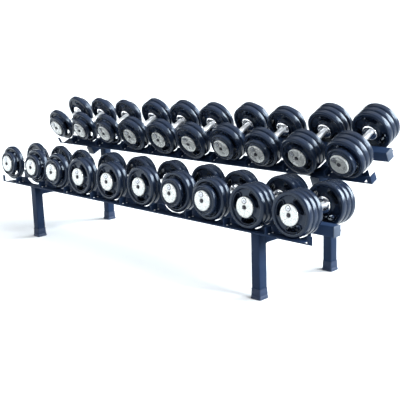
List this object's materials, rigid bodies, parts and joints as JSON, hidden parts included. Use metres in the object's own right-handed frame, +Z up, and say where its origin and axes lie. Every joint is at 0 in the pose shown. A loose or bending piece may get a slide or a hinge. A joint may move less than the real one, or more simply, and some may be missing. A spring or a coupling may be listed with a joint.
{
  "type": "dumbbell rack",
  "caption": "Two-tier steel rack with saddle rails and dividers, the upper tier tilted, carrying rubber-headed dumbbells with straight handles.",
  "frame": {"origin": "middle of the footprint of the whole object, at floor level", "axes": "+X along the rails to the user's right, +Y away from the user, +Z up"},
  "size_m": [2.4826, 0.7882, 0.8366],
  "materials": {
    "frame_paint": "satin navy powder coat",
    "boot_rubber": "matt black moulded rubber",
    "end_caps": "pale blue-grey moulded plastic",
    "heads": "iron under a glossy black rubber coat, with chrome caps, collars and handle"
  },
  "bodies": {
    "rack": {"front_leg_left": "frame_paint", "rear_post_left": "frame_paint", "cross_tube_left": "frame_paint", "boot_front_left": "boot_rubber", "boot_rear_left": "boot_rubber", "front_leg_right": "frame_paint", "rear_post_right": "frame_paint", "cross_tube_right": "frame_paint", "boot_front_right": "boot_rubber", "boot_rear_right": "boot_rubber", "lower_front_rail_left": "frame_paint", "lower_front_rail_right": "frame_paint", "lower_rear_rail_left": "frame_paint", "lower_rear_rail_right": "frame_paint", "lower_beam": "frame_paint", "lower_beam_cap_left": "end_caps", "lower_beam_cap_right": "end_caps", "upper_front_rail_left": "frame_paint", "upper_front_rail_right": "frame_paint", "upper_rear_rail_left": "frame_paint", "upper_rear_rail_right": "frame_paint", "upper_beam": "frame_paint", "upper_beam_cap_left": "end_caps", "upper_beam_cap_right": "end_caps", "upper_arm_left": "frame_paint", "beam_riser_left": "frame_paint", "arm_cap_front_left": "end_caps", "arm_cap_rear_left": "end_caps", "upper_arm_right": "frame_paint", "beam_riser_right": "frame_paint", "arm_cap_front_right": "end_caps", "arm_cap_rear_right": "end_caps"},
    "lower_dumbbell_01": {"lower_dumbbell_01": "heads"},
    "lower_dumbbell_02": {"lower_dumbbell_02": "heads"},
    "lower_dumbbell_03": {"lower_dumbbell_03": "heads"},
    "lower_dumbbell_04": {"lower_dumbbell_04": "heads"},
    "lower_dumbbell_05": {"lower_dumbbell_05": "heads"},
    "lower_dumbbell_06": {"lower_dumbbell_06": "heads"},
    "lower_dumbbell_07": {"lower_dumbbell_07": "heads"},
    "lower_dumbbell_08": {"lower_dumbbell_08": "heads"},
    "lower_dumbbell_09": {"lower_dumbbell_09": "heads"},
    "lower_dumbbell_10": {"lower_dumbbell_10": "heads"},
    "upper_dumbbell_01": {"upper_dumbbell_01": "heads"},
    "upper_dumbbell_02": {"upper_dumbbell_02": "heads"},
    "upper_dumbbell_03": {"upper_dumbbell_03": "heads"},
    "upper_dumbbell_04": {"upper_dumbbell_04": "heads"},
    "upper_dumbbell_05": {"upper_dumbbell_05": "heads"},
    "upper_dumbbell_06": {"upper_dumbbell_06": "heads"},
    "upper_dumbbell_07": {"upper_dumbbell_07": "heads"},
    "upper_dumbbell_08": {"upper_dumbbell_08": "heads"},
    "upper_dumbbell_09": {"upper_dumbbell_09": "heads"},
    "upper_dumbbell_10": {"upper_dumbbell_10": "heads"}
  },
  "joints": [
    {"name": "lower_dumbbell_01_lift", "type": "slide", "parent": "rack", "child": "lower_dumbbell_01", "axis": [0, -0.1736, 0.9848], "range_m": [0, 0.25]},
    {"name": "lower_dumbbell_02_lift", "type": "slide", "parent": "rack", "child": "lower_dumbbell_02", "axis": [0, -0.1736, 0.9848], "range_m": [0, 0.25]},
    {"name": "lower_dumbbell_03_lift", "type": "slide", "parent": "rack", "child": "lower_dumbbell_03", "axis": [0, -0.1736, 0.9848], "range_m": [0, 0.25]},
    {"name": "lower_dumbbell_04_lift", "type": "slide", "parent": "rack", "child": "lower_dumbbell_04", "axis": [0, -0.1736, 0.9848], "range_m": [0, 0.25]},
    {"name": "lower_dumbbell_05_lift", "type": "slide", "parent": "rack", "child": "lower_dumbbell_05", "axis": [0, -0.1736, 0.9848], "range_m": [0, 0.25]},
    {"name": "lower_dumbbell_06_lift", "type": "slide", "parent": "rack", "child": "lower_dumbbell_06", "axis": [0, -0.1736, 0.9848], "range_m": [0, 0.25]},
    {"name": "lower_dumbbell_07_lift", "type": "slide", "parent": "rack", "child": "lower_dumbbell_07", "axis": [0, -0.7071, 0.7071], "range_m": [0, 0.25]},
    {"name": "lower_dumbbell_08_lift", "type": "slide", "parent": "rack", "child": "lower_dumbbell_08", "axis": [0, -0.1736, 0.9848], "range_m": [0, 0.25]},
    {"name": "lower_dumbbell_09_lift", "type": "slide", "parent": "rack", "child": "lower_dumbbell_09", "axis": [0, -0.7071, 0.7071], "range_m": [0, 0.25]},
    {"name": "lower_dumbbell_10_lift", "type": "slide", "parent": "rack", "child": "lower_dumbbell_10", "axis": [0, -0.7071, 0.7071], "range_m": [0, 0.25]},
    {"name": "upper_dumbbell_01_lift", "type": "slide", "parent": "rack", "child": "upper_dumbbell_01", "axis": [0, -0.4226, 0.9063], "range_m": [0, 0.3]},
    {"name": "upper_dumbbell_02_lift", "type": "slide", "parent": "rack", "child": "upper_dumbbell_02", "axis": [0, -0.4226, 0.9063], "range_m": [0, 0.3]},
    {"name": "upper_dumbbell_03_lift", "type": "slide", "parent": "rack", "child": "upper_dumbbell_03", "axis": [0, -0.4226, 0.9063], "range_m": [0, 0.3]},
    {"name": "upper_dumbbell_04_lift", "type": "slide", "parent": "rack", "child": "upper_dumbbell_04", "axis": [0, -0.4226, 0.9063], "range_m": [0, 0.3]},
    {"name": "upper_dumbbell_05_lift", "type": "slide", "parent": "rack", "child": "upper_dumbbell_05", "axis": [0, -0.4226, 0.9063], "range_m": [0, 0.3]},
    {"name": "upper_dumbbell_06_lift", "type": "slide", "parent": "rack", "child": "upper_dumbbell_06", "axis": [0, -0.4226, 0.9063], "range_m": [0, 0.3]},
    {"name": "upper_dumbbell_07_lift", "type": "slide", "parent": "rack", "child": "upper_dumbbell_07", "axis": [0, -0.4226, 0.9063], "range_m": [0, 0.3]},
    {"name": "upper_dumbbell_08_lift", "type": "slide", "parent": "rack", "child": "upper_dumbbell_08", "axis": [0, -0.4226, 0.9063], "range_m": [0, 0.3]},
    {"name": "upper_dumbbell_09_lift", "type": "slide", "parent": "rack", "child": "upper_dumbbell_09", "axis": [0, -0.4226, 0.9063], "range_m": [0, 0.3]},
    {"name": "upper_dumbbell_10_lift", "type": "slide", "parent": "rack", "child": "upper_dumbbell_10", "axis": [0, -0.4226, 0.9063], "range_m": [0, 0.3]}
  ]
}
